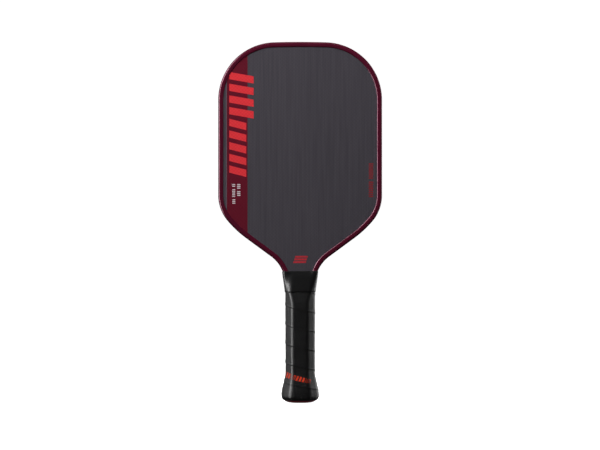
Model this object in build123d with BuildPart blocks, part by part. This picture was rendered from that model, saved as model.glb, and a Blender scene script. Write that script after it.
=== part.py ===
from build123d import *
from math import asin, cos, degrees, pi, radians, sin, sqrt
import os

# Pickleball paddle: a honeycomb board with carbon faces, an edge guard and a wrapped handle.
# The paddle stands on its butt end. +Z runs up the handle to the top of the head, +X is to the
# right and the front face looks along -Y. The origin is the centre of the butt end.
# All sizes are in millimetres.

# ---------------------------------------------------------------- overall size
LENGTH = 419.1  # 16.5 in, from the butt end to the top of the head
WIDTH = 190.5  # 7.5 in, across the edge guard

# ---------------------------------------------------------------- head outline, at the guard's outside
CROWN_R = 1050.0  # the top edge is slightly crowned
CORNER_R = 67.0  # upper corners
KNEE_R = 46.0  # lower corners, where the straight sides turn in
KNEE_TURN = 40.0  # degrees turned in the knee
SHOULDER_R = 124.0  # the gentler bend below the knee
SHOULDER_TURN = 13.7  # degrees turned in the shoulder
NECK_R = 40.0  # hollow curve from the shoulder into the neck
NECK_WIDTH = 35.0  # across the guard where the neck runs straight
NECK_Z = 137.5  # below this the neck runs straight
GUARD_END = 136.0  # the guard's lower ends

# ---------------------------------------------------------------- board
CORE = 13.0  # polypropylene honeycomb, made here as a plain slab
FILM = 0.15  # adhesive between the honeycomb and each skin
GLASS_PLY = 0.25
CARBON_PLY = 0.35
BOARD = CORE + 2 * (FILM + GLASS_PLY + CARBON_PLY)

# ---------------------------------------------------------------- edge guard
GUARD_WALL = 1.8  # around the board's edge
GUARD_LIP = 1.1  # over each face
GUARD_FACE = 6.0  # how far the lip reaches in from the outside
GUARD_ROUND = 2.8  # outer edges
BOND_TAPE = 0.15  # between the guard and the board's edge
GUARD_DEPTH = BOARD + 2 * GUARD_LIP

# ---------------------------------------------------------------- handle, outside the grip
GRIP_WIDTH = 34.7
GRIP_DEPTH = 30.0
BEVEL = 8.5  # corner cut of the eight-sided section, along each side
NECK_BEVEL = 3.85  # the same cut at the pallets' upper ends, where the guard's corners begin
GRIP_WRAP = 1.8
BACKING_TAPE = 0.2
FLARE = 4.65  # how far the butt stands out beyond the handle, on every side
FLARE_TOP = 36.0
FLARE_LOW = 8.0  # height of the butt's widest point
BUTT_FLAT = 14.3  # depth of the flat that the rounded end draws in to
RAMP_Z = 116.0  # above this the handle thins towards the board
GRIP_LOW = 2.4  # the grip's lower edge, which leaves the cap's foot bare
GRIP_TOP = 133.5

# ---------------------------------------------------------------- butt cap, pallets and tapes
CAP_FLOOR = 3.6
CAP_WALL = 1.3
CAP_FIT = 0.1  # clearance of the pallets and the tongue in the cap
PALLET_GAP = 0.5  # between the pallets' upper ends and the guard
PALLET_GLUE = 0.15
TONGUE_FIT = 0.1  # each side of the tongue, in the pallets' channel
TONGUE_WALL = 0.8  # least pallet wall left outside the tongue's corners
FINISH_TAPE = 0.4  # two turns of tape
FINISH_TAPE_WIDTH = 24.0
COLLAR_TOP = 152.5  # upper edge of the finishing tape, where the playing face begins
TAPE_FIT = 0.05  # between the finishing tape and what it is wound over

# ---------------------------------------------------------------- staples that hold the cap
STAPLE_CROWN = 10.0
STAPLE_WIRE = 0.6
STAPLE_WIDTH = 1.2
STAPLE_BELOW_CAP_TOP = 4.0

FRONT = 1  # Plane.XZ looks along -Y, so the front is on its positive side
BACK = -1
SIDES = {"front": FRONT, "back": BACK}

os.makedirs("parts", exist_ok=True)


def save(piece, label):
    """Name a finished piece and write it."""
    piece.label = label
    export_step(piece, f"parts/{label}.step")


# ---------------------------------------------------------------- sizes that follow from those above
TAPE_INSET = GRIP_WRAP
CORE_INSET = GRIP_WRAP + BACKING_TAPE
SPIGOT_INSET = CORE_INSET + CAP_WALL + CAP_FIT
PALLET_TOP = GUARD_END - PALLET_GAP
BUTT_INSET = GRIP_DEPTH / 2 + FLARE - BUTT_FLAT / 2  # how far the rounded end draws in
STAPLE_Z = FLARE_TOP - STAPLE_BELOW_CAP_TOP
CAP_SURFACE = GRIP_DEPTH / 2 - CORE_INSET  # the cap's flat sides at its upper edge
STAPLE_LEG = CAP_SURFACE - STAPLE_WIRE - BOARD / 2 - PALLET_GLUE  # the points stop at the glue
INSET_BEVEL = 2 - sqrt(2)  # a 45 degree corner cut loses this much for each unit of inset
SPIGOT_CORNER = (GRIP_WIDTH + GRIP_DEPTH) / 2 - BEVEL - SPIGOT_INSET * (2 - INSET_BEVEL)
TONGUE = 2 * (SPIGOT_CORNER - BOARD / 2 - PALLET_GLUE - TONGUE_FIT - TONGUE_WALL * sqrt(2))

# ================================================================ outlines


def head_outline(inset, low):
    """The head's outline drawn in by inset, with its neck run straight down to the height low."""
    slope = KNEE_TURN + SHOULDER_TURN
    turn, knee = radians(slope), radians(KNEE_TURN)
    neck_reach = NECK_R * (1 - cos(turn))
    shoulder_reach = SHOULDER_R * (cos(knee) - cos(turn))
    knee_reach = KNEE_R * (1 - cos(knee))
    diagonal_reach = (WIDTH - NECK_WIDTH) / 2 - neck_reach - shoulder_reach - knee_reach
    crown = asin((WIDTH / 2 - CORNER_R) / (CROWN_R - CORNER_R))
    corner_z = LENGTH - CROWN_R + (CROWN_R - CORNER_R) * cos(crown)
    edge = NECK_WIDTH / 2 - inset
    with BuildSketch(Plane.XZ, mode=Mode.PRIVATE) as outline:
        with BuildLine():
            tail = Line((edge, low), (edge, NECK_Z))
            neck = JernArc(tail @ 1, (0, 1), NECK_R + inset, -slope)
            diagonal = PolarLine(neck @ 1, diagonal_reach / sin(turn), 90 - slope)
            shoulder = JernArc(diagonal @ 1, diagonal % 1, SHOULDER_R - inset, SHOULDER_TURN)
            lower_corner = JernArc(shoulder @ 1, shoulder % 1, KNEE_R - inset, KNEE_TURN)
            side = Line(lower_corner @ 1, (WIDTH / 2 - inset, corner_z))
            corner = JernArc(side @ 1, (0, 1), CORNER_R - inset, 90 - degrees(crown))
            JernArc(corner @ 1, corner % 1, CROWN_R - inset, degrees(crown))
            mirror(about=Plane.YZ)
            Line((edge, low), (-edge, low))
        make_face()
    return outline.sketch


def board_outline():
    """The board: the head inside the guard, with a narrower tongue that runs down the handle."""
    shoulder_z = PALLET_TOP
    foot_z = CAP_FLOOR + CAP_FIT
    with BuildSketch(Plane.XZ, mode=Mode.PRIVATE) as outline:
        add(head_outline(GUARD_WALL + BOND_TAPE, shoulder_z))
        with Locations((0, foot_z)):
            Rectangle(TONGUE, COLLAR_TOP - foot_z, align=(Align.CENTER, Align.MIN))
    return outline.sketch


def grip_growth(z):
    """How far the grip's outside stands out beyond the straight handle at the height z."""
    if z < FLARE_LOW:
        return FLARE - BUTT_INSET * (1 - sqrt(1 - ((FLARE_LOW - z) / FLARE_LOW) ** 2))
    if z < FLARE_TOP:
        return FLARE / 2 * (1 + cos(pi * (z - FLARE_LOW) / (FLARE_TOP - FLARE_LOW)))
    return 0.0


def handle_section(z, inset):
    """The eight-sided section at the height z, drawn in by inset from the grip's outside."""
    thinning = (GRIP_DEPTH - GUARD_DEPTH) / 2 - GRIP_WRAP - BACKING_TAPE
    ramp = max(0.0, (z - RAMP_Z) / (PALLET_TOP - RAMP_Z))
    growth = grip_growth(z) - inset
    with BuildSketch(Plane.XY.offset(z), mode=Mode.PRIVATE) as section:
        Rectangle(GRIP_WIDTH + 2 * growth, GRIP_DEPTH + 2 * growth - 2 * thinning * ramp)
        chamfer(section.vertices(), BEVEL - (BEVEL - NECK_BEVEL) * ramp + growth * INSET_BEVEL)
    return section.sketch


def butt_heights(low, high):
    """Heights that follow the rounded end and the flare, closest where they bend hardest."""
    rounded = [FLARE_LOW * (1 - cos(pi / 2 * step / 5)) for step in range(5)]
    flare = [FLARE_LOW + (FLARE_TOP - FLARE_LOW) * step / 6 for step in range(7)]
    between = [z for z in rounded + flare if low + 0.3 < z < high - 0.3]
    return [low] + between + [high]


def handle_solid(inset, low, high):
    """The handle's solid shape from low to high, drawn in by inset from the grip's outside."""
    flare_end = min(high, FLARE_TOP)
    straight_end = min(high, RAMP_Z)
    with BuildPart(mode=Mode.PRIVATE) as solid:
        if low < flare_end:
            loft([handle_section(z, inset) for z in butt_heights(low, flare_end)])
        if max(low, flare_end) < straight_end:
            loft([handle_section(z, inset) for z in (max(low, flare_end), straight_end)], ruled=True)
        if straight_end < high:
            loft([handle_section(z, inset) for z in (max(low, straight_end), high)], ruled=True)
    return solid.part


# ================================================================ board

BOARD_SHAPE = board_outline()


with BuildPart() as honeycomb_core:
    with BuildSketch(Plane.XZ.offset(-CORE / 2)):
        add(BOARD_SHAPE)
    extrude(amount=CORE)
save(honeycomb_core.part, "honeycomb_core")


def ply(name, side, below, thickness):
    """One sheet of the board, lying on what is already below it."""
    with BuildPart() as sheet:
        with BuildSketch(Plane.XZ.offset(side * below)):
            add(BOARD_SHAPE)
        extrude(amount=side * thickness)
    save(sheet.part, name)


for name, side in SIDES.items():
    ply(f"{name}_adhesive_film", side, CORE / 2, FILM)
    ply(f"{name}_glass_ply", side, CORE / 2 + FILM, GLASS_PLY)
    ply(f"{name}_carbon_face", side, CORE / 2 + FILM + GLASS_PLY, CARBON_PLY)

# ================================================================ edge guard

with BuildPart() as edge_bond_tape:
    with BuildSketch(Plane.XZ.offset(-BOARD / 2)):
        add(head_outline(GUARD_WALL, GUARD_END))
        add(head_outline(GUARD_WALL + BOND_TAPE, GUARD_END), mode=Mode.SUBTRACT)
    extrude(amount=BOARD)
save(edge_bond_tape.part, "edge_bond_tape")

with BuildPart() as edge_guard:
    with BuildSketch(Plane.XZ.offset(-GUARD_DEPTH / 2)):
        add(head_outline(0, GUARD_END))
    extrude(amount=GUARD_DEPTH)
    outside = edge_guard.faces().filter_by(Axis.Y).edges()
    ends = outside.filter_by(Axis.X)
    fillet([edge for edge in outside if edge not in ends], GUARD_ROUND)
    with BuildSketch(Plane.XZ.offset(-GUARD_DEPTH)):
        add(head_outline(GUARD_FACE, GUARD_END - GUARD_FACE))
    extrude(amount=2 * GUARD_DEPTH, mode=Mode.SUBTRACT)
    with BuildSketch(Plane.XZ.offset(-BOARD / 2)):
        add(head_outline(GUARD_WALL, GUARD_END - GUARD_FACE))
    extrude(amount=BOARD, mode=Mode.SUBTRACT)
save(edge_guard.part, "edge_guard")

# ================================================================ handle


def staple_shape():
    """Two staples, one in the front and one in the back, with their crowns let into the cap."""
    with BuildPart(mode=Mode.PRIVATE) as staples:
        for side in SIDES.values():
            with BuildSketch(Plane.XZ.offset(side * CAP_SURFACE)):
                with Locations((0, STAPLE_Z)):
                    Rectangle(STAPLE_CROWN, STAPLE_WIDTH)
            extrude(amount=-side * STAPLE_WIRE)
            with BuildSketch(Plane.XZ.offset(side * (CAP_SURFACE - STAPLE_WIRE))):
                with Locations((0, STAPLE_Z)):
                    with GridLocations(STAPLE_CROWN - STAPLE_WIRE, 1, 2, 1):
                        Rectangle(STAPLE_WIRE, STAPLE_WIDTH)
            extrude(amount=-side * STAPLE_LEG)
    return staples.part


STAPLES = staple_shape()
save(STAPLES, "cap_staples")

for name, side in SIDES.items():
    with BuildPart() as pallet:
        add(handle_solid(CORE_INSET, FLARE_TOP, PALLET_TOP))
        with BuildSketch(Plane.XY.offset(CAP_FLOOR)):
            add(handle_section(FLARE_TOP, SPIGOT_INSET))
        extrude(amount=FLARE_TOP - CAP_FLOOR)
        split(bisect_by=Plane.XZ, keep=Keep.TOP if side == FRONT else Keep.BOTTOM)
        with BuildSketch(Plane.XZ):
            with Locations((0, CAP_FLOOR)):
                Rectangle(
                    TONGUE + 2 * TONGUE_FIT, PALLET_TOP - CAP_FLOOR, align=(Align.CENTER, Align.MIN)
                )
        extrude(amount=side * (BOARD / 2 + PALLET_GLUE), mode=Mode.SUBTRACT)
        add(STAPLES, mode=Mode.SUBTRACT)
    save(pallet.part, f"{name}_pallet")
    with BuildPart() as glue:
        with BuildSketch(Plane.XZ.offset(side * BOARD / 2)):
            with Locations((0, CAP_FLOOR + CAP_FIT)):
                Rectangle(TONGUE, PALLET_TOP - CAP_FLOOR - CAP_FIT, align=(Align.CENTER, Align.MIN))
        extrude(amount=side * PALLET_GLUE)
    save(glue.part, f"{name}_pallet_adhesive")

with BuildPart() as butt_cap:
    add(handle_solid(CORE_INSET, GRIP_LOW, FLARE_TOP))
    loft([handle_section(z, CORE_INSET) for z in (0.0, GRIP_LOW / 3, GRIP_LOW)])
    with BuildSketch(Plane.XY.offset(CAP_FLOOR)):
        add(handle_section(FLARE_TOP, CORE_INSET + CAP_WALL))
    extrude(amount=FLARE_TOP, mode=Mode.SUBTRACT)
    add(STAPLES, mode=Mode.SUBTRACT)
save(butt_cap.part, "butt_cap")

with BuildPart() as grip_backing_tape:
    add(handle_solid(TAPE_INSET, GRIP_LOW, GRIP_TOP))
    add(handle_solid(CORE_INSET, GRIP_LOW, GRIP_TOP), mode=Mode.SUBTRACT)
save(grip_backing_tape.part, "grip_backing_tape")

with BuildPart() as grip:
    add(handle_solid(0, GRIP_LOW, GRIP_TOP))
    add(handle_solid(TAPE_INSET, GRIP_LOW, GRIP_TOP), mode=Mode.SUBTRACT)
save(grip.part, "grip")

# ================================================================ finishing tape


def collar_section(outset):
    """Around the neck at the tape's upper edge, over the guard's two sides."""
    slope_run = COLLAR_TOP - NECK_Z
    neck_half = NECK_WIDTH / 2 + NECK_R - sqrt(NECK_R**2 - slope_run**2)
    with BuildSketch(Plane.XY.offset(COLLAR_TOP), mode=Mode.PRIVATE) as section:
        Rectangle(2 * (neck_half + outset), GUARD_DEPTH + 2 * outset)
        chamfer(section.vertices(), GUARD_ROUND * INSET_BEVEL)
    return section.sketch


with BuildPart() as finishing_tape:
    tape_low = COLLAR_TOP - FINISH_TAPE_WIDTH
    loft([handle_section(tape_low, -FINISH_TAPE - TAPE_FIT), collar_section(FINISH_TAPE + TAPE_FIT)])
    loft([handle_section(tape_low, -TAPE_FIT), collar_section(TAPE_FIT)], mode=Mode.SUBTRACT)
save(finishing_tape.part, "finishing_tape")
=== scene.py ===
"""A pickleball paddle standing on its butt end: raw carbon faces, a glossy dark red edge guard,
a black cushioned wrap on the handle and a band of black finishing tape at the neck."""

import math

import bmesh
import bpy
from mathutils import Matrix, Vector, noise


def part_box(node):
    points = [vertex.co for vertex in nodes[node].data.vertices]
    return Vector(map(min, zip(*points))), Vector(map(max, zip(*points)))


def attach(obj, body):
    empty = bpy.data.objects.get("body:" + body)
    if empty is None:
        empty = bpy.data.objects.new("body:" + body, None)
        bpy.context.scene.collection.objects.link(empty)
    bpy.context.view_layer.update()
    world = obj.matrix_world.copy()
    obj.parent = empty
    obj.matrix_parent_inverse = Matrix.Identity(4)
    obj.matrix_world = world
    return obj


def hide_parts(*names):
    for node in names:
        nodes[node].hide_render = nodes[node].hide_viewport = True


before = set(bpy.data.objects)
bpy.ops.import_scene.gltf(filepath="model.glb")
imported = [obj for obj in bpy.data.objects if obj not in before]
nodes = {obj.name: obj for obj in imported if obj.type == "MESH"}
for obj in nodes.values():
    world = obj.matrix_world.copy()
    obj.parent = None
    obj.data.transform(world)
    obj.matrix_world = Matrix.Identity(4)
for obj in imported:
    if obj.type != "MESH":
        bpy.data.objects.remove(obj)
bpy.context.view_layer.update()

MM = 0.001

# ---------------------------------------------------------------- sizes taken from the frame
FACE_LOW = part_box("front_carbon_face")[0]
GUARD_LOW, GUARD_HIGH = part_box("edge_guard")
GRIP_BOX_LOW, GRIP_BOX_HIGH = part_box("grip")
TAPE_LOW, TAPE_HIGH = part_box("finishing_tape")
FACE_DEPTH = -FACE_LOW[1]  # the hitting faces stand this far in front of and behind the middle
GUARD_DEPTH = GUARD_HIGH[1]

# ---------------------------------------------------------------- the handle, as in the CAD part
GRIP_HALF_WIDTH = 17.35 * MM
GRIP_HALF_DEPTH = 15.0 * MM
BEVEL = 8.5 * MM  # how far each corner cut reaches
FLARE = 4.65 * MM  # how far the butt stands out
FLARE_LOW = 8.0 * MM
FLARE_TOP = 36.0 * MM
BUTT_INSET = 12.5 * MM  # how far the rounded end draws in
RAMP_Z = 116.0 * MM  # the handle thins from here up to the board
RAMP_TOP = 135.5 * MM
RAMP_THINNING = 4.65 * MM
NECK_Z = 137.5 * MM
NECK_HALF_WIDTH = 17.5 * MM
NECK_RADIUS = 40.0 * MM
LIP_REACH = 6.0 * MM  # how far the guard's lips reach in over the faces


def smooth(low, high, value):
    """0 below low, 1 above high and an even S between them."""
    t = min(1.0, max(0.0, (value - low) / (high - low)))
    return t * t * (3 - 2 * t)


# ================================================================ materials


def linear(hex_colour):
    """An sRGB hex colour as linear RGBA."""
    channels = [int(hex_colour[i : i + 2], 16) / 255 for i in (1, 3, 5)]
    return [c / 12.92 if c <= 0.04045 else ((c + 0.055) / 1.055) ** 2.4 for c in channels] + [1.0]


def add(tree, kind, settings=None, inputs=None, output=0):
    """Adds a node and gives back one of its outputs. Each input is a value, or another node's
    output to link from."""
    new = tree.nodes.new("ShaderNode" + kind)
    for name, value in (settings or {}).items():
        setattr(new, name, value)
    for socket, value in (inputs or {}).items():
        if isinstance(value, bpy.types.NodeSocket):
            tree.links.new(value, new.inputs[socket])
        else:
            new.inputs[socket].default_value = value
    return new.outputs[output]


def new_material(name, shader_values):
    """A material with one Principled shader, and the place on the object in millimetres."""
    material = bpy.data.materials.new(name)
    material.use_nodes = True
    tree = material.node_tree
    shader = tree.nodes["Principled BSDF"]
    for socket, value in shader_values.items():
        shader.inputs[socket].default_value = value
    coordinates = add(tree, "TexCoord", output="Object")
    in_mm = add(tree, "VectorMath", SCALE, {0: coordinates, "Scale": 1 / MM})
    return material, tree, shader, in_mm


def connect(tree, shader, outputs):
    """Links each named output to the shader's input of the same name."""
    for socket, output in outputs.items():
        tree.links.new(output, shader.inputs[socket])


# settings that several materials share
SCALE = {"operation": "SCALE"}
TIMES = {"operation": "MULTIPLY"}
PLUS = {"operation": "ADD"}
SINE = {"operation": "SINE"}
COLOURS = {"data_type": "RGBA"}
MIXED = 2  # the mixed colour's place among a Mix node's outputs; 6 and 7 are its colour inputs

TOW = 2.0  # mm, the width of one carbon tow
GRIT = 0.4  # mm, the tooth that peel ply leaves
STREAKS = (0.55, 1.0, 0.012)  # per mm: about 2 mm wide and 80 mm long


def weave_pattern(tree, place):
    """Plain weave: 1 where an upright tow is on top, 0 where a level one is."""
    waves = []
    for axis in ("X", "Z"):
        distance = add(tree, "SeparateXYZ", None, {0: place}, axis)
        turns = add(tree, "Math", TIMES, {0: distance, 1: math.pi / TOW})
        waves.append(add(tree, "Math", SINE, {0: turns}))
    checks = add(tree, "Math", TIMES, {0: waves[0], 1: waves[1]})
    return add(tree, "MapRange", None, {0: checks, 1: -0.6, 2: 0.6})


def woven_face(name, base, upright, level, roughness):
    """Carbon cloth cured against peel ply. The eye sees a matte, slightly gritty sheet with the
    weave's small squares showing as a faint change of tone, and long faint streaks along the tows."""
    material, tree, shader, place = new_material(name, {"IOR": 1.5, "Specular IOR Level": 0.28})
    weave = weave_pattern(tree, place)
    stretched = add(tree, "VectorMath", TIMES, {0: place, 1: STREAKS})
    streaks = add(
        tree, "TexNoise", None, {"Vector": stretched, "Scale": 1.0, "Detail": 4.0, "Roughness": 0.65}
    )
    grit = add(tree, "TexNoise", None, {"Vector": place, "Scale": 1 / GRIT})
    tone = add(tree, "Mix", COLOURS, {0: weave, 6: linear(level), 7: linear(upright)}, MIXED)
    streak = add(tree, "MapRange", None, {0: streaks, 1: 0.35, 2: 0.7, 4: 0.7})
    streaked = add(tree, "Mix", COLOURS, {0: streak, 6: tone, 7: linear(base)}, MIXED)
    low_weave = add(tree, "Math", TIMES, {0: weave, 1: 0.2})
    raised = add(tree, "Math", PLUS, {0: low_weave, 1: grit})
    bump = add(tree, "Bump", None, {"Height": raised, "Distance": 0.06 * MM})
    rough = add(tree, "MapRange", None, {0: grit, 3: roughness - 0.06, 4: roughness + 0.08})
    connect(tree, shader, {"Base Color": streaked, "Roughness": rough, "Normal": bump})
    return material


def moulded_plastic(name, colour, deep, roughness, coat):
    """Injection-moulded polyurethane from a polished tool. The eye sees deep glossy colour with a
    very slight orange peel that softens the edges of the highlights."""
    shine = {"IOR": 1.52, "Coat Weight": coat, "Coat Roughness": 0.1}
    tint = {"Specular Tint": (1.0, 0.48, 0.64, 1.0)}
    material, tree, shader, place = new_material(name, shine | tint)
    cloud = add(tree, "TexNoise", None, {"Vector": place, "Scale": 0.05})
    shade = add(tree, "Mix", COLOURS, {0: cloud, 6: linear(deep), 7: linear(colour)}, MIXED)
    scuffs = add(tree, "TexNoise", None, {"Vector": place, "Scale": 0.6, "Detail": 5.0})
    worn = {0: scuffs, 1: 0.35, 2: 0.7, 3: roughness, 4: roughness + 0.04}
    rough = add(tree, "MapRange", None, worn)
    peel = add(tree, "TexNoise", None, {"Vector": place, "Scale": 0.12, "Detail": 1.0})
    bump = add(tree, "Bump", None, {"Height": peel, "Distance": 0.015 * MM})
    connect(tree, shader, {"Base Color": shade, "Roughness": rough, "Normal": bump})
    return material


PORE_PITCH = 3.2  # mm between the wrap's perforations
PORE_RADIUS = 0.45


def cushioned_wrap():
    """Foamed polyurethane on felt, embossed with a fine leather grain and punched with small holes,
    whose insides are painted near black as painted shade. The eye sees soft black with a dull grey
    sheen where it turns to the light."""
    material, tree, shader, place = new_material("polyurethane_wrap", {"IOR": 1.45})
    shade = add(tree, "TexNoise", None, {"Vector": place, "Scale": 0.12, "Detail": 4.0})
    blacks = {0: shade, 6: linear("#050506"), 7: linear("#0b0b0c")}
    colour = add(tree, "Mix", COLOURS, blacks, MIXED)
    uv = add(tree, "UVMap", {"uv_map": "wrap_mm"})
    rows = add(tree, "VectorMath", SCALE, {0: uv, "Scale": 1 / PORE_PITCH})
    cell = add(tree, "VectorMath", {"operation": "FRACTION"}, {0: rows})
    middle = (0.5, 0.5, 0.0)
    apart = add(tree, "VectorMath", {"operation": "DISTANCE"}, {0: cell, 1: middle}, "Value")
    edge = PORE_RADIUS / PORE_PITCH
    pore = add(tree, "MapRange", None, {0: apart, 1: edge * 0.6, 2: edge * 1.3})
    grain = add(tree, "TexVoronoi", {"feature": "SMOOTH_F1"}, {"Vector": place, "Scale": 1.1})
    pitted = add(tree, "Math", TIMES, {0: pore, 1: 1.5})
    grained = add(tree, "Math", TIMES, {0: grain, 1: 0.35})
    height = add(tree, "Math", PLUS, {0: pitted, 1: grained})
    # painted shade: the perforations are coloured near black, standing in for the shade inside the
    # holes
    with_pores = add(tree, "Mix", COLOURS, {0: pore, 6: linear("#020202"), 7: colour}, MIXED)
    worn = add(tree, "MapRange", None, {0: shade, 3: 0.33, 4: 0.43})
    bump = add(tree, "Bump", None, {"Height": height, "Distance": 0.12 * MM})
    connect(tree, shader, {"Base Color": with_pores, "Roughness": worn, "Normal": bump})
    return material


def vinyl_tape():
    """Calendered vinyl stretched as it is wound. The eye sees smooth shiny black with fine
    stretch lines along the tape."""
    material, tree, shader, place = new_material("black_vinyl_tape", {"IOR": 1.52})
    stretched = add(tree, "VectorMath", TIMES, {0: place, 1: (0.15, 0.15, 1.6)})
    lines = add(tree, "TexNoise", None, {"Vector": stretched, "Scale": 1.0, "Detail": 3.0})
    blacks = {0: lines, 6: linear("#040405"), 7: linear("#0a0a0b")}
    colour = add(tree, "Mix", COLOURS, blacks, MIXED)
    rough = add(tree, "MapRange", None, {0: lines, 3: 0.34, 4: 0.41})
    bump = add(tree, "Bump", None, {"Height": lines, "Distance": 0.012 * MM})
    connect(tree, shader, {"Base Color": colour, "Roughness": rough, "Normal": bump})
    return material


def printed_ink(name, colour, shade):
    """Screen-printed ink on the carbon cloth. The eye sees flat, even colour that keeps the
    cloth's grit and a trace of its weave."""
    material, tree, shader, place = new_material(name, {"IOR": 1.48, "Specular IOR Level": 0.12})
    grit = add(tree, "TexNoise", None, {"Vector": place, "Scale": 1 / GRIT})
    weave_share = add(tree, "Math", TIMES, {0: weave_pattern(tree, place), 1: 0.4})
    grit_share = add(tree, "Math", TIMES, {0: grit, 1: 0.6})
    cover = add(tree, "Math", PLUS, {0: weave_share, 1: grit_share})
    ink = add(tree, "Mix", COLOURS, {0: cover, 6: linear(shade), 7: linear(colour)}, MIXED)
    rough = add(tree, "MapRange", None, {0: grit, 3: 0.45, 4: 0.6})
    bump = add(tree, "Bump", None, {"Height": cover, "Distance": 0.04 * MM})
    connect(tree, shader, {"Base Color": ink, "Roughness": rough, "Normal": bump})
    return material


def hidden_stock(name, colour, other, roughness, per_mm, metallic=0.0):
    """The inner layers' stock: cast, foamed or drawn, with its own cloudy tone and slight tooth."""
    material, tree, shader, place = new_material(name, {"Metallic": metallic})
    cloud = add(tree, "TexNoise", None, {"Vector": place, "Scale": per_mm, "Detail": 4.0})
    tone = add(tree, "Mix", COLOURS, {0: cloud, 6: linear(colour), 7: linear(other)}, MIXED)
    rough = add(tree, "MapRange", None, {0: cloud, 3: roughness - 0.08, 4: roughness + 0.08})
    bump = add(tree, "Bump", None, {"Height": cloud, "Distance": 0.1 * MM})
    connect(tree, shader, {"Base Color": tone, "Roughness": rough, "Normal": bump})
    return material


CARBON = woven_face("raw_carbon_cloth", "#343138", "#433f46", "#3f3b42", 0.6)
BAND_INK = printed_ink("dark_red_ink", "#641125", "#580f20")
MOTIF_INK = printed_ink("coral_ink", "#e6383f", "#d23038")
CORAL_SMALL_INK = printed_ink("coral_print_ink", "#c2323c", "#a82c34")
DIM_INK = printed_ink("dim_red_ink", "#8e2a30", "#7a242a")
PALE_INK = printed_ink("pale_ink", "#d8c9ce", "#bfb0b6")
LINE_INK = printed_ink("grey_line_ink", "#6f5560", "#5f4852")
GUARD = moulded_plastic("polyurethane_guard", "#521026", "#480c20", 0.2, 0.12)
CAP = moulded_plastic("moulded_cap_plastic", "#94142a", "#841022", 0.3, 0.1)
WRAP = cushioned_wrap()
TAPE = vinyl_tape()
GRIP_INK = printed_ink("orange_red_ink", "#e04428", "#c93a22")

for node_name, material in {
    "honeycomb_core": hidden_stock("polypropylene_honeycomb", "#d8d8d0", "#c6c7bf", 0.5, 0.12),
    "front_adhesive_film": hidden_stock("epoxy_film", "#c9bf98", "#b8ad86", 0.3, 0.2),
    "back_adhesive_film": "epoxy_film",
    "front_glass_ply": hidden_stock("glass_cloth_in_epoxy", "#b9c0ae", "#a8b09c", 0.4, 0.5),
    "back_glass_ply": "glass_cloth_in_epoxy",
    "front_carbon_face": CARBON,
    "back_carbon_face": CARBON,
    "edge_bond_tape": hidden_stock("acrylic_bond_tape", "#dad7cd", "#cbc7bb", 0.45, 0.3),
    "edge_guard": GUARD,
    "front_pallet": hidden_stock("polyurethane_foam", "#46474a", "#3a3b3e", 0.8, 1.2),
    "back_pallet": "polyurethane_foam",
    "front_pallet_adhesive": "epoxy_film",
    "back_pallet_adhesive": "epoxy_film",
    "cap_staples": hidden_stock("galvanised_wire", "#b9bbbf", "#a4a6aa", 0.3, 1.5, 1.0),
    "butt_cap": CAP,
    "grip_backing_tape": hidden_stock("cloth_backing_tape", "#d6cfb8", "#c4bda6", 0.8, 1.0),
}.items():
    node_object = nodes[node_name]
    if isinstance(material, str):
        material = bpy.data.materials[material]
    node_object.data.materials.clear()
    node_object.data.materials.append(material)


# ================================================================ pieces in mesh code


def make_piece(name, mesh, material):
    """A named piece that rides on the paddle."""
    mesh.materials.append(material)
    piece = bpy.data.objects.new(name, mesh)
    bpy.context.scene.collection.objects.link(piece)
    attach(piece, "root")
    return piece


def mesh_from_rings(name, rings):
    """Joins rings of points into one skin, each ring closed on itself."""
    mesh = bpy.data.meshes.new(name)
    count = len(rings[0])
    points = [point for ring in rings for point in ring]
    faces = []
    for row in range(len(rings) - 1):
        for k in range(count):
            nxt = (k + 1) % count
            faces.append(
                (row * count + k, row * count + nxt, (row + 1) * count + nxt, (row + 1) * count + k)
            )
    mesh.from_pydata(points, [], faces)
    mesh.shade_smooth()
    return mesh


# ---------------------------------------------------------------- the handle's outside


def handle_growth(z):
    """How far the outside stands out beyond the straight handle at the height z."""
    if z < FLARE_LOW:
        return FLARE - BUTT_INSET * (1 - math.sqrt(1 - ((FLARE_LOW - z) / FLARE_LOW) ** 2))
    if z < FLARE_TOP:
        return FLARE / 2 * (1 + math.cos(math.pi * (z - FLARE_LOW) / (FLARE_TOP - FLARE_LOW)))
    return 0.0


ARC_STEPS = 6  # in each softened corner


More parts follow.
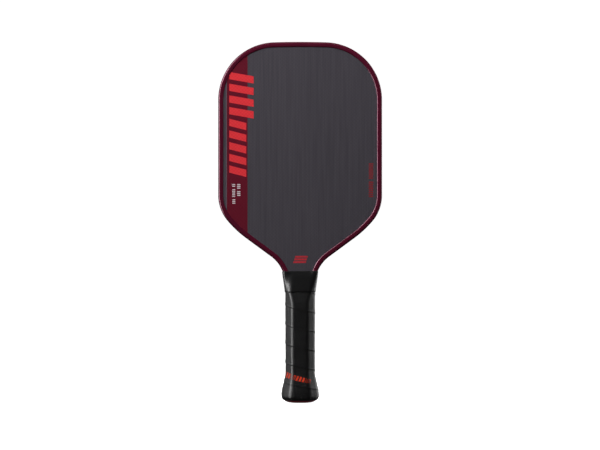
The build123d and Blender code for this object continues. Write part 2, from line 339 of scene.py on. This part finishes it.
def rounded_octagon(half_width, half_depth, bevel, corner, count):
    """Evenly spaced points and outward normals round a rectangle with cut, softened corners."""
    corners = [
        (half_width, bevel - half_depth),
        (half_width, half_depth - bevel),
        (half_width - bevel, half_depth),
        (bevel - half_width, half_depth),
        (-half_width, half_depth - bevel),
        (-half_width, bevel - half_depth),
        (bevel - half_width, -half_depth),
        (half_width - bevel, -half_depth),
    ]
    outline = []
    for i, corner_xy in enumerate(corners):
        here = Vector(corner_xy)
        into = (here - Vector(corners[i - 1])).normalized()
        out = (Vector(corners[(i + 1) % 8]) - here).normalized()
        turn = into.angle(out)
        setback = corner * math.tan(turn / 2)
        start = here - into * setback
        inward = Vector((-into.y, into.x))
        centre = start + inward * corner
        for step in range(ARC_STEPS + 1):
            angle = turn * step / ARC_STEPS
            spoke = Vector((into.y, -into.x))
            normal = Vector(
                (
                    spoke.x * math.cos(angle) - spoke.y * math.sin(angle),
                    spoke.x * math.sin(angle) + spoke.y * math.cos(angle),
                )
            )
            outline.append((centre + normal * corner, normal))
    lengths = [0.0]
    closed = outline + [outline[0]]
    for first, second in zip(closed, closed[1:]):
        lengths.append(lengths[-1] + (second[0] - first[0]).length)
    points = []
    segment = 0
    for k in range(count):
        wanted = lengths[-1] * k / count
        while lengths[segment + 1] < wanted:
            segment += 1
        share = (wanted - lengths[segment]) / max(1e-9, lengths[segment + 1] - lengths[segment])
        place = closed[segment][0].lerp(closed[segment + 1][0], share)
        normal = closed[segment][1].lerp(closed[segment + 1][1], share).normalized()
        points.append((place, normal))
    return points


def handle_ring(z, outset, corner, count):
    """The handle's section at the height z, with softened corners."""
    thinned = RAMP_THINNING * max(0.0, (z - RAMP_Z) / (RAMP_TOP - RAMP_Z))
    growth = handle_growth(z) + outset
    bevel = BEVEL - thinned + growth * (2 - math.sqrt(2))
    return rounded_octagon(
        GRIP_HALF_WIDTH + growth, GRIP_HALF_DEPTH + growth - thinned, bevel, corner, count
    )


WRAP_PITCH = 22.2 * MM  # one turn of the wrap climbs this far
WRAP_AROUND = 264
WRAP_LENGTH_ROUND = 108.0  # mm round the straight handle
WRAP_STEP = 0.5 * MM  # between the mesh's level rings
SEAM_DEPTH = 0.1 * MM
SEAM_WIDTH = 0.03  # share of a turn
SEAM_PHASE = 0.30  # where round the handle the seams start
LAP_RISE = 0.34 * MM
LAP_PLACE, LAP_WIDTH = 0.05, 0.045  # shares of a turn
SKIVE = 0.16 * MM  # how much the strip's edge is thinned
SKIVE_FROM = 0.75
WRAP_CORNER = 7.0 * MM  # the corners' radius on the straight handle
BUTT_CORNER = 10.5 * MM
CORNER_FADE = 6.0 * MM  # the corners tighten this near the flat end
DENT_SIZE = 11.0 * MM
DENT_DEPTH = 0.16 * MM
RELIEF_FADE = 5.0 * MM  # seams and dents fade out this near the wrap's lower end
GRIP_LOW = GRIP_BOX_LOW[2] + 0.8 * MM  # the wrap stops above the cap's foot
TUCK = 0.9  # the wrap's ends turn in to this share of their size
TUCK_TOP_DEPTH = 0.88
TUCK_RISE = 0.7 * MM


def wrap_height(turns):
    """The wrap's surface above or below its mean over one turn: it thins to a skived edge, drops
    into the seam and rises where the next turn laps over it."""
    seam = min(turns, 1 - turns)
    groove = -SEAM_DEPTH * math.exp(-((seam / SEAM_WIDTH) ** 2))
    lap = LAP_RISE * math.exp(-(((turns - LAP_PLACE) / LAP_WIDTH) ** 2))
    return groove + lap - SKIVE * smooth(SKIVE_FROM, 1.0, turns)


def wrap_ring(z, outset=0.0):
    """The points of one level ring of the wrap's surface."""
    growth = handle_growth(z) / FLARE if z > FLARE_LOW else 1.0
    corner = WRAP_CORNER + (BUTT_CORNER - WRAP_CORNER) * smooth(0, 1, growth)
    corner *= smooth(-CORNER_FADE, CORNER_FADE, z)
    ring = handle_ring(z, 0.0, corner, WRAP_AROUND)
    fade = smooth(GRIP_LOW, GRIP_LOW + RELIEF_FADE, z)
    points = []
    for k, (place, normal) in enumerate(ring):
        climb = z / WRAP_PITCH + k / WRAP_AROUND + SEAM_PHASE
        dents = noise.noise(Vector((place.x, place.y, z)) / DENT_SIZE) * DENT_DEPTH
        out = (wrap_height(climb % 1.0) + dents) * fade + outset
        points.append((place.x + normal.x * out, place.y + normal.y * out, z))
    return points


def build_grip():
    """The cushioned wrap: one strip wound up the handle, from the rounded butt to under the tape."""
    high = GRIP_BOX_HIGH[2]
    rows = int((high - GRIP_LOW) / WRAP_STEP)
    rings = []
    wrap_uv = []
    for row in range(rows + 1):
        z = GRIP_LOW + (high - GRIP_LOW) * row / rows
        rings.append(wrap_ring(z))
        wrap_uv += [(k / WRAP_AROUND * WRAP_LENGTH_ROUND, z / MM) for k in range(WRAP_AROUND)]
    tucked_low = [(x * TUCK, y * TUCK, GRIP_LOW + TUCK_RISE) for x, y, z in rings[0]]
    tucked_high = [(x * TUCK, y * TUCK_TOP_DEPTH, high) for x, y, z in rings[-1]]
    rings = [tucked_low] + rings + [tucked_high]
    wrap_uv = wrap_uv[:WRAP_AROUND] + wrap_uv + wrap_uv[-WRAP_AROUND:]
    mesh = mesh_from_rings("grip_wrap", rings)
    layer = mesh.uv_layers.new(name="wrap_mm")
    angle = math.atan2(WRAP_PITCH / MM, WRAP_LENGTH_ROUND)
    for polygon in mesh.polygons:
        us = [wrap_uv[mesh.loops[i].vertex_index][0] for i in polygon.loop_indices]
        crosses = max(us) - min(us) > WRAP_LENGTH_ROUND / 2
        for i in polygon.loop_indices:
            u, v = wrap_uv[mesh.loops[i].vertex_index]
            if crosses and u < WRAP_LENGTH_ROUND / 2:
                u += WRAP_LENGTH_ROUND
            along = u * math.cos(angle) + v * math.sin(angle)
            layer.data[i].uv = (along, v * math.cos(angle) - u * math.sin(angle))
    piece = make_piece("grip_wrap", mesh, WRAP)
    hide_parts("grip")
    return piece


FOOT_INSET = 0.35 * MM  # the foot stands back from the wrap's outside
FOOT_OVERLAP = 0.5 * MM  # it goes this far up inside the wrap
FOOT_ROWS = 14
FOOT_CROWDING = 2  # the rows crowd towards the flat end, where the foot is roundest
FOOT_MIDDLE = 0.02  # the hole left in the flat, as a share of its size
FOOT_INSIDE = 0.8


def build_cap_foot():
    """The cap's moulded foot, which the wrap is wound down to and which shows as a thin red rim."""
    high = GRIP_LOW + FOOT_OVERLAP
    rings = []
    for row in range(FOOT_ROWS + 1):
        z = high * (row / FOOT_ROWS) ** FOOT_CROWDING
        corner = BUTT_CORNER * smooth(-CORNER_FADE, CORNER_FADE, z)
        ring = handle_ring(z, -FOOT_INSET, corner, WRAP_AROUND)
        rings.append([(place.x, place.y, z) for place, normal in ring])
    middle = [(x * FOOT_MIDDLE, y * FOOT_MIDDLE, 0.0) for x, y, z in rings[0]]
    inside = [(x * FOOT_INSIDE, y * FOOT_INSIDE, high) for x, y, z in rings[-1]]
    mesh = mesh_from_rings("butt_cap_foot", [middle] + rings + [inside])
    return make_piece("butt_cap_foot", mesh, CAP)


PRINT_BARS = 11
PRINT_FROM, PRINT_TO = 0.603, 0.955  # shares of the way round, across the front
PRINT_LEFT_Z, PRINT_RIGHT_Z = 34.5 * MM, 25.0 * MM
PRINT_TALL_LEFT, PRINT_TALL_RIGHT = 6.6 * MM, 4.2 * MM
PRINT_CELLS = 5  # faces up each bar
PRINT_FILL = 0.62  # a bar's share of its pitch
PRINT_LEAN = 0.018  # share of the way round
PRINT_LIFT = 0.05 * MM


def wrap_point(share, z, outset):
    """A point on the wrap's surface, a share of the way round."""
    points = wrap_ring(z, outset)
    position = (share % 1.0) * WRAP_AROUND
    k = int(position)
    first, second = Vector(points[k % WRAP_AROUND]), Vector(points[(k + 1) % WRAP_AROUND])
    return first.lerp(second, position - k)


def build_grip_print():
    """A row of slanted bars in ink along the lowest turn of the wrap, falling with the turn."""
    verts = []
    faces = []
    for bar in range(PRINT_BARS):
        for cell in range(PRINT_CELLS + 1):
            for side in (0, 1):
                across = (bar + PRINT_FILL * side) / PRINT_BARS
                middle = PRINT_LEFT_Z + (PRINT_RIGHT_Z - PRINT_LEFT_Z) * across
                tall = PRINT_TALL_LEFT + (PRINT_TALL_RIGHT - PRINT_TALL_LEFT) * across
                z = middle + tall * (cell / PRINT_CELLS - 0.5)
                lean = PRINT_LEAN * (cell / PRINT_CELLS - 0.5)
                share = PRINT_FROM + (PRINT_TO - PRINT_FROM) * across + lean
                verts.append(wrap_point(share, z, PRINT_LIFT))
        start = bar * 2 * (PRINT_CELLS + 1)
        for cell in range(PRINT_CELLS):
            a = start + cell * 2
            faces.append((a, a + 1, a + 3, a + 2))
    mesh = bpy.data.meshes.new("grip_print_ink")
    mesh.from_pydata(verts, [], faces)
    mesh.shade_smooth()
    return make_piece("grip_print_ink", mesh, GRIP_INK)


# ---------------------------------------------------------------- edge guard

WIDTH_HALF = GUARD_HIGH[0]
TOP_Z = GUARD_HIGH[2]
GUARD_END = GUARD_LOW[2]
CROWN_RADIUS = 1050.0 * MM
CORNER_RADIUS = 67.0 * MM
KNEE_RADIUS = 46.0 * MM
KNEE_TURN = math.radians(40.0)
SHOULDER_RADIUS = 124.0 * MM
SHOULDER_TURN = math.radians(13.7)
OUTLINE_STEP = 1.2 * MM
GUARD_WALL = 1.8 * MM
GUARD_ROUND = 2.8 * MM
LIP_SLOPE_DROP = 0.62 * MM  # the lip's inner edge slopes down to the face by this much
LIP_SLOPES = (40.0, 34.0, 29.0, 23.0)  # degrees, getting gentler away from the edge
LIP_EDGE = 0.1 * MM  # the upright step at the lip's inner edge
LIP_SINK = 0.02 * MM  # the lip's foot reaches just below the face
LIP_TOP_DROP = 0.06 * MM  # the lip's flat ends this far below the guard's full depth
LIP_MIDDLE_DROP = 0.02 * MM
GUARD_ROUND_STEPS = 10
SHARP_TURN = math.radians(50)  # edges that turn more than this stay crisp


def half_outline():
    """Points and outward normals up the right side of the head, at the guard's outside."""
    slope = KNEE_TURN + SHOULDER_TURN
    reach = NECK_RADIUS * (1 - math.cos(slope))
    reach += SHOULDER_RADIUS * (math.cos(KNEE_TURN) - math.cos(slope))
    reach += KNEE_RADIUS * (1 - math.cos(KNEE_TURN))
    diagonal = (WIDTH_HALF - NECK_HALF_WIDTH - reach) / math.sin(slope)
    crown = math.asin((WIDTH_HALF - CORNER_RADIUS) / (CROWN_RADIUS - CORNER_RADIUS))
    corner_z = TOP_Z - CROWN_RADIUS + (CROWN_RADIUS - CORNER_RADIUS) * math.cos(crown)
    rise = NECK_RADIUS * math.sin(slope) + diagonal * math.cos(slope)
    rise += SHOULDER_RADIUS * (math.sin(slope) - math.sin(KNEE_TURN))
    rise += KNEE_RADIUS * math.sin(KNEE_TURN)
    side = corner_z - NECK_Z - rise
    x, z, heading = NECK_HALF_WIDTH, GUARD_END, math.pi / 2
    points = []
    stretches = (
        (NECK_Z - GUARD_END, 0.0),
        (NECK_RADIUS * slope, -slope),
        (diagonal, 0.0),
        (SHOULDER_RADIUS * SHOULDER_TURN, SHOULDER_TURN),
        (KNEE_RADIUS * KNEE_TURN, KNEE_TURN),
        (side, 0.0),
        (CORNER_RADIUS * (math.pi / 2 - crown), math.pi / 2 - crown),
        (CROWN_RADIUS * crown, crown),
    )
    for length, turn in stretches:
        steps = max(1, round(length / OUTLINE_STEP))
        chord = length / steps
        if turn:
            radius = length / abs(turn)
            chord = 2 * radius * math.sin(abs(turn) / steps / 2)
        for step in range(steps):
            points.append((x, z, math.sin(heading), -math.cos(heading)))
            heading += turn / steps / 2
            x += chord * math.cos(heading)
            z += chord * math.sin(heading)
            heading += turn / steps / 2
    points.append((0.0, TOP_Z, 0.0, 1.0))
    return points


def guard_profile():
    """The channel's section as (inset from the outside, depth): soft outer edges, lips with a
    rolled inner edge that lies on the face."""
    half = [(LIP_REACH, FACE_DEPTH - LIP_SINK)]
    height = GUARD_DEPTH - LIP_TOP_DROP - LIP_SLOPE_DROP
    inset = LIP_REACH
    half.append((inset, height - LIP_EDGE))
    for tilt in LIP_SLOPES:
        half.append((inset, height))
        run = LIP_SLOPE_DROP / len(LIP_SLOPES) / math.tan(math.radians(tilt))
        inset -= run
        height += LIP_SLOPE_DROP / len(LIP_SLOPES)
    half.append((inset, height))
    half.append(((LIP_REACH + GUARD_ROUND) / 2, GUARD_DEPTH - LIP_MIDDLE_DROP))
    for step in range(GUARD_ROUND_STEPS + 1):
        angle = math.pi / 2 * step / GUARD_ROUND_STEPS
        inset = GUARD_ROUND * (1 - math.sin(angle))
        half.append((inset, GUARD_DEPTH - GUARD_ROUND + GUARD_ROUND * math.cos(angle)))
    back = [(inset, -depth) for inset, depth in reversed(half)]
    inside = [(GUARD_WALL, -FACE_DEPTH), (GUARD_WALL, FACE_DEPTH)]
    return half + back + inside


def build_guard():
    """The moulded channel, swept round the head from one side of the neck to the other."""
    right = half_outline()
    left = [(-x, z, -normal_x, normal_z) for x, z, normal_x, normal_z in reversed(right[:-1])]
    profile = guard_profile()
    rings = []
    for x, z, normal_x, normal_z in right + left:
        ring = [(x - normal_x * inset, depth, z - normal_z * inset) for inset, depth in profile]
        rings.append(ring)
    mesh = mesh_from_rings("edge_guard_moulding", rings)
    caps = bmesh.new()
    caps.from_mesh(mesh)
    caps.verts.ensure_lookup_table()
    count = len(profile)
    caps.faces.new([caps.verts[k] for k in range(count)])
    caps.faces.new([caps.verts[len(caps.verts) - 1 - k] for k in range(count)])
    bmesh.ops.recalc_face_normals(caps, faces=caps.faces)
    caps.to_mesh(mesh)
    caps.free()
    mesh.shade_smooth()
    mesh.set_sharp_from_angle(angle=SHARP_TURN)
    piece = make_piece("edge_guard_moulding", mesh, GUARD)
    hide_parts("edge_guard")
    return piece


# ---------------------------------------------------------------- finishing tape

TAPE_TURNS = 2.12
TAPE_START = 0.93  # where round the neck the first turn begins
TAPE_BASE = 0.1 * MM  # the first turn lies this far above the neck
TAPE_LAYER = 0.22 * MM
TAPE_THICKNESS = 0.16 * MM
TAPE_AROUND = 220
TAPE_ROWS = 36
TAPE_CROWDING = 1.7  # the rows crowd towards the upper edge
TAPE_ROLL = 1.6 * MM  # the uppermost edge rolls down onto the face over this height
TAPE_ROLL_DEPTH = 0.4 * TAPE_ROLL
TAPE_SKEW = 1.3 * MM  # how far the last turn ends above the first
TAPE_WANDER = 0.35 * MM  # how far each turn strays up and down
TAPE_WANDER_START = 0.8  # radians
TAPE_STRAY_SHARE = 0.6  # share of the skew and the wander that shows
TAPE_OVERHANG = 0.6 * MM
PUCKER_SCALE = Vector((60.0, 60.0, 120.0))  # per metre
PUCKER = 0.02 * MM
HOLLOW = 0.7 * MM  # the tape is drawn in between the guard's two sides
HOLLOW_FROM = 0.7  # share of the tape's height
HOLLOW_EDGE, HOLLOW_FULL = 1.5 * MM, 6.0 * MM  # in from the neck's sides
COLLAR_EASE = 0.35  # share of the neck's change of section that eases in and out
COLLAR_BEVEL, COLLAR_CORNER = 1.7 * MM, 1.6 * MM

TAPE_HEIGHT = TAPE_HIGH[2] - TAPE_LOW[2]
NECK_TOP = TAPE_HIGH[2] - NECK_Z
COLLAR_HALF_WIDTH = NECK_HALF_WIDTH + NECK_RADIUS - math.sqrt(NECK_RADIUS**2 - NECK_TOP**2)
LOW_RING = handle_ring(TAPE_LOW[2], 0.0, WRAP_CORNER, TAPE_AROUND)
HIGH_RING = rounded_octagon(
    COLLAR_HALF_WIDTH, GUARD_DEPTH, COLLAR_BEVEL, COLLAR_CORNER, TAPE_AROUND
)


def collar_point(share, z, outset):
    """A point on the neck's wound surface, from the grip's end up to the guard's two sides."""
    eased = smooth(TAPE_LOW[2], TAPE_HIGH[2], z)
    t = COLLAR_EASE * eased + (1 - COLLAR_EASE) * (z - TAPE_LOW[2]) / TAPE_HEIGHT
    position = share * TAPE_AROUND
    k = int(position) % TAPE_AROUND
    part = position - int(position)
    after = (k + 1) % TAPE_AROUND
    low_place = LOW_RING[k][0].lerp(LOW_RING[after][0], part)
    high_place = HIGH_RING[k][0].lerp(HIGH_RING[after][0], part)
    normal = LOW_RING[k][1].lerp(HIGH_RING[k][1], t).normalized()
    place = low_place.lerp(high_place, t) + normal * outset
    return place, normal


def build_tape():
    """Black tape wound twice round the neck, its edges a little out of line where the turns lap."""
    columns = int(TAPE_AROUND * TAPE_TURNS)
    verts = []
    for column in range(columns + 1):
        around = column / TAPE_AROUND
        layer = TAPE_BASE + TAPE_LAYER * around
        stray = TAPE_SKEW * (around / TAPE_TURNS - 0.5)
        stray += TAPE_WANDER * math.sin(around * 2 * math.pi + TAPE_WANDER_START)
        for row in range(TAPE_ROWS + 1):
            v = 1 - (1 - row / TAPE_ROWS) ** TAPE_CROWDING
            z = TAPE_LOW[2] + TAPE_HEIGHT * v + stray * TAPE_STRAY_SHARE
            z = min(z, TAPE_HIGH[2] + TAPE_OVERHANG)
            in_roll = max(0.0, 1 - (1 - v) * TAPE_HEIGHT / TAPE_ROLL)
            rolled = TAPE_ROLL_DEPTH * (1 - math.sqrt(1 - in_roll**2))
            place, normal = collar_point((around + TAPE_START) % 1.0, z, layer - rolled)
            pucker = noise.noise(Vector((place.x, place.y, z)) * PUCKER_SCALE) * PUCKER
            sunk = 0.0
            if abs(place.x) < NECK_HALF_WIDTH:
                in_from_side = NECK_HALF_WIDTH - abs(place.x)
                between = smooth(HOLLOW_EDGE, HOLLOW_FULL, in_from_side)
                sunk = HOLLOW * between * smooth(HOLLOW_FROM, 1.0, v)
            y = place.y + normal.y * pucker - math.copysign(sunk, place.y)
            verts.append((place.x + normal.x * pucker, y, z))
    faces = []
    rows = TAPE_ROWS + 1
    for column in range(columns):
        for row in range(TAPE_ROWS):
            a = column * rows + row
            faces.append((a, a + rows, a + rows + 1, a + 1))
    mesh = bpy.data.meshes.new("finishing_tape_turns")
    mesh.from_pydata(verts, [], faces)
    mesh.shade_smooth()
    piece = make_piece("finishing_tape_turns", mesh, TAPE)
    thick = piece.modifiers.new("tape_thickness", "SOLIDIFY")
    thick.thickness = TAPE_THICKNESS
    thick.offset = 1.0
    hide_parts("finishing_tape")
    return piece


# ---------------------------------------------------------------- ink on the faces

INK = 0.03 * MM  # each layer of ink lies this far above the one below
FACE_SKIN = 0.01 * MM  # faces nearer the front than this belong to the flat hitting face


def flat_mesh(name, polygons):
    """Flat ink shapes on a face; each polygon is a list of (x, z) in millimetres."""
    mesh = bpy.data.meshes.new(name)
    points = []
    faces = []
    for polygon in polygons:
        faces.append(tuple(range(len(points), len(points) + len(polygon))))
        points += [(x * MM, 0.0, z * MM) for x, z in polygon]
    mesh.from_pydata(points, [], faces)
    return mesh


def ink_piece(name, polygons, material, side, layer=1):
    """Ink on the front (side 1) or turned round to the back (side -1)."""
    mesh = flat_mesh(name, polygons)
    for vertex in mesh.vertices:
        vertex.co.x *= side
        vertex.co.y = -side * (FACE_DEPTH + INK * layer)
    mesh.update()
    return make_piece(name, mesh, material)


def slanted_bar(x_low, x_high, z_low, z_high, slant):
    """A bar whose two long sides run across, and which climbs by slant from left to right."""
    return [(x_low, z_low), (x_high, z_low + slant), (x_high, z_high + slant), (x_low, z_high)]


def band_mesh(x_low, x_high, side):
    """The part of the hitting face between two upright lines, cut from the face's own outline."""
    source = nodes["front_carbon_face"].data
    cut = bmesh.new()
    cut.from_mesh(source)
    gone = [f for f in cut.faces if f.calc_center_median().y >= FACE_LOW[1] + FACE_SKIN]
    bmesh.ops.delete(cut, geom=gone, context="FACES")
    for x, keep in ((x_low * MM, -1), (x_high * MM, 1)):
        everything = cut.verts[:] + cut.edges[:] + cut.faces[:]
        bmesh.ops.bisect_plane(
            cut,
            geom=everything,
            plane_co=(x, 0, 0),
            plane_no=(keep, 0, 0),
            clear_outer=True,
        )
    mesh = bpy.data.meshes.new("band")
    cut.to_mesh(mesh)
    cut.free()
    for vertex in mesh.vertices:
        vertex.co.x *= side
        vertex.co.y = -side * (FACE_DEPTH + INK)
    mesh.update()
    return mesh


# where the inks lie on a face, in millimetres
BAND_LEFT, BAND_RIGHT = -84.9, -61.1
LINE_LEFT, LINE_RIGHT = -86.1, -85.3
LINE_LOW, LINE_HIGH = 226.0, 371.0
MOTIF_LOW, MOTIF_HIGH = 262.0, 384.0
MOTIF_LEFT = -82.3
MOTIF_REACH = -54.0
MOTIF_SHORT_REACH = -62.5
MOTIF_WIDE_BARS = 4
MOTIF_BARS = 9
MOTIF_FILL = 0.62
MOTIF_SLANT = 5.0
THROAT_TOP = 170.6
THROAT_PITCH = 3.1
THROAT_LEFT = -5.6
THROAT_LEAN = 1.0
THROAT_WIDTH = 14.6
THROAT_ROWS = 3
THROAT_FILL = 0.68  # a row's share of its pitch
THROAT_SLANT = 0.5  # the rows' ends lean by this much
MARKS_TOP = 253.9
UPPER_LEFT, UPPER_RIGHT, UPPER_LOW = -73.2, -69.4, 239.5
UPPER_DASHES, UPPER_GAPS = 7, (3,)
LOWER_LEFT, LOWER_RIGHT, LOWER_LOW = -78.8, -75.4, 230.4
LOWER_DASHES, LOWER_GAPS = 12, (2, 8)
SIDE_LEFT, SIDE_RIGHT, SIDE_HIGH, SIDE_LOW = 79.6, 84.8, 278.0, 238.0
SIDE_DASHES, SIDE_GAPS = 17, (8,)
DASH_FILL = 0.62  # a dash's share of its pitch


def row_of_dashes(x_low, x_high, z_high, z_low, count, gaps):
    """Short dashes one above the other, with some left out, like a scale without figures."""
    pitch = (z_high - z_low) / count
    tops = [z_high - k * pitch for k in range(count) if k not in gaps]
    return [slanted_bar(x_low, x_high, top - pitch * DASH_FILL, top, 0.0) for top in tops]


def build_inks(side, where):
    """The printed band and small marks on one face."""
    band = band_mesh(BAND_LEFT, BAND_RIGHT, side)
    make_piece(f"{where}_band_ink", band, BAND_INK)
    line = slanted_bar(LINE_LEFT, LINE_RIGHT, LINE_LOW, LINE_HIGH, 0.0)
    ink_piece(f"{where}_line_ink", [line], LINE_INK, side)
    pitch = (MOTIF_HIGH - MOTIF_LOW) / MOTIF_BARS
    bars = []
    for k in range(MOTIF_BARS):
        top = MOTIF_HIGH - k * pitch
        reach = MOTIF_REACH if k < MOTIF_WIDE_BARS else MOTIF_SHORT_REACH
        bars.append(slanted_bar(MOTIF_LEFT, reach, top - pitch * MOTIF_FILL, top, -MOTIF_SLANT))
    ink_piece(f"{where}_motif_ink", bars, MOTIF_INK, side, 2)
    upper = row_of_dashes(
        UPPER_LEFT, UPPER_RIGHT, MARKS_TOP, UPPER_LOW, UPPER_DASHES, UPPER_GAPS
    )
    lower = row_of_dashes(
        LOWER_LEFT, LOWER_RIGHT, MARKS_TOP, LOWER_LOW, LOWER_DASHES, LOWER_GAPS
    )
    ink_piece(f"{where}_small_marks_ink", upper + lower, PALE_INK, side, 2)
    marks = row_of_dashes(SIDE_LEFT, SIDE_RIGHT, SIDE_HIGH, SIDE_LOW, SIDE_DASHES, SIDE_GAPS)
    ink_piece(f"{where}_side_marks_ink", marks, DIM_INK, side)
    throat = []
    for k in range(THROAT_ROWS):
        high = THROAT_TOP - k * THROAT_PITCH
        low = high - THROAT_PITCH * THROAT_FILL
        left = THROAT_LEFT - k * THROAT_LEAN
        right = left + THROAT_WIDTH
        throat.append(
            [(left - THROAT_SLANT, low), (right - THROAT_SLANT, low), (right, high), (left, high)]
        )
    ink_piece(f"{where}_throat_marks_ink", throat, CORAL_SMALL_INK, side)


for side, where in ((1, "front"), (-1, "back")):
    build_inks(side, where)

build_guard()
build_grip()
build_tape()
build_grip_print()
build_cap_foot()

# ================================================================ camera, light and floor

ASPECT = 4 / 3
VIEW_HEIGHT = 522.2 * MM  # how much the view covers from top to bottom at the paddle
VIEW_X, VIEW_Z = -0.2 * MM, 206.4 * MM
LENS = 100.0
SENSOR = 36.0

camera_data = bpy.data.cameras.new("camera")
camera_data.lens = LENS
camera_data.sensor_width = SENSOR
camera = bpy.data.objects.new("camera", camera_data)
bpy.context.scene.collection.objects.link(camera)
distance = VIEW_HEIGHT * ASPECT * LENS / SENSOR
camera.location = (VIEW_X, -distance - FACE_DEPTH, VIEW_Z)
camera.rotation_euler = (math.radians(90), 0, 0)
bpy.context.scene.camera = camera


def softbox(name, place, target, width, height, power):
    """A rectangular soft light that faces target, in metres and watts."""
    light = bpy.data.lights.new(name, "AREA")
    light.shape = "RECTANGLE"
    light.size = width
    light.size_y = height
    light.energy = power
    lamp = bpy.data.objects.new(name, light)
    lamp.location = place
    lamp.rotation_euler = (Vector(target) - Vector(place)).to_track_quat("-Z", "Y").to_euler()
    lamp.visible_camera = False
    bpy.context.scene.collection.objects.link(lamp)
    return lamp


softbox("key_left", (-1.3, -0.8, 0.4), (0, 0, 0.2), 0.45, 1.4, 8.0)
softbox("fill_right", (1.4, -0.3, 0.4), (0, 0, 0.2), 0.4, 1.2, 1.5)
softbox("rim_left", (-1.1, 0.8, 0.4), (0, 0, 0.25), 0.5, 1.4, 3.0)
softbox("rim_right", (1.1, 0.8, 0.4), (0, 0, 0.25), 0.5, 1.4, 9.0)
softbox("overhead", (0, 0.1, 2.0), (0, 0, 0.3), 1.2, 1.2, 4.0)
# these three light the surfaces without showing as reflections
for lamp in (
    softbox("front_top", (-0.2, -0.6, 1.15), (0, 0, 0.3), 0.8, 0.4, 11.5),
    softbox("back_top", (0.2, 0.6, 1.15), (0, 0, 0.3), 0.8, 0.4, 11.5),
    softbox("floor_bounce", (0, -0.35, 0.03), (0, 0, 0.0), 0.3, 0.04, 0.12),
):
    lamp.visible_glossy = False
# these three show only as reflections
for lamp in (
    softbox("gloss_left", (-1.4, -0.64, 0.3), (0, 0, 0.2), 0.55, 1.5, 27.0),
    softbox("gloss_top_left", (-1.15, -0.6, 1.2), (0, 0, 0.2), 0.6, 0.8, 18.0),
    softbox("gloss_back", (1.4, 0.64, 0.3), (0, 0, 0.2), 0.55, 1.5, 6.0),
):
    lamp.visible_diffuse = False

world = bpy.data.worlds.new("studio")
bpy.context.scene.world = world
world.use_nodes = True
world.node_tree.nodes["Background"].inputs["Color"].default_value = (1, 1, 1, 1)
world.node_tree.nodes["Background"].inputs["Strength"].default_value = 0.05

STAGE_RADIUS = 6.0
STAGE_FLAT = 0.7  # share of the radius before the floor starts to rise
STAGE_WALL = 1.5 * STAGE_RADIUS
STAGE_BEND_STEPS = 12
STAGE_SIDES = 64
STAGE_CENTRE = 1e-4  # the innermost ring is this small
STAGE_GLOW = 1.0


def stage_material(name, glow):
    """Matte white paint. The eye sees an even white with no shading, because it also glows."""
    material = bpy.data.materials.new(name)
    material.use_nodes = True
    shader = material.node_tree.nodes["Principled BSDF"]
    shader.inputs["Base Color"].default_value = (0.9, 0.9, 0.9, 1)
    shader.inputs["Roughness"].default_value = 0.9
    shader.inputs["Specular IOR Level"].default_value = 0.1
    shader.inputs["Emission Color"].default_value = (1, 1, 1, 1)
    shader.inputs["Emission Strength"].default_value = glow
    return material


def build_stage():
    """A round white floor whose rim sweeps up into a tall white wall all round."""
    flat = STAGE_RADIUS * STAGE_FLAT
    bend = STAGE_RADIUS - flat
    profile = [(STAGE_CENTRE, 0.0), (flat, 0.0)]
    for step in range(1, STAGE_BEND_STEPS + 1):
        angle = math.pi / 2 * step / STAGE_BEND_STEPS
        profile.append((flat + bend * math.sin(angle), bend * (1 - math.cos(angle))))
    profile.append((STAGE_RADIUS, STAGE_WALL))
    rings = []
    for radius, z in profile:
        ring = []
        for k in range(STAGE_SIDES):
            angle = 2 * math.pi * k / STAGE_SIDES
            ring.append((radius * math.cos(angle), radius * math.sin(angle), z))
        rings.append(ring)
    mesh = mesh_from_rings("studio_floor", rings)
    mesh.materials.append(stage_material("matte_white_paint", STAGE_GLOW))
    floor = bpy.data.objects.new("studio_floor", mesh)
    bpy.context.scene.collection.objects.link(floor)
    floor.visible_glossy = False
    floor.visible_diffuse = False


build_stage()

scene = bpy.context.scene
scene.view_settings.view_transform = "Standard"
scene.view_settings.look = "None"
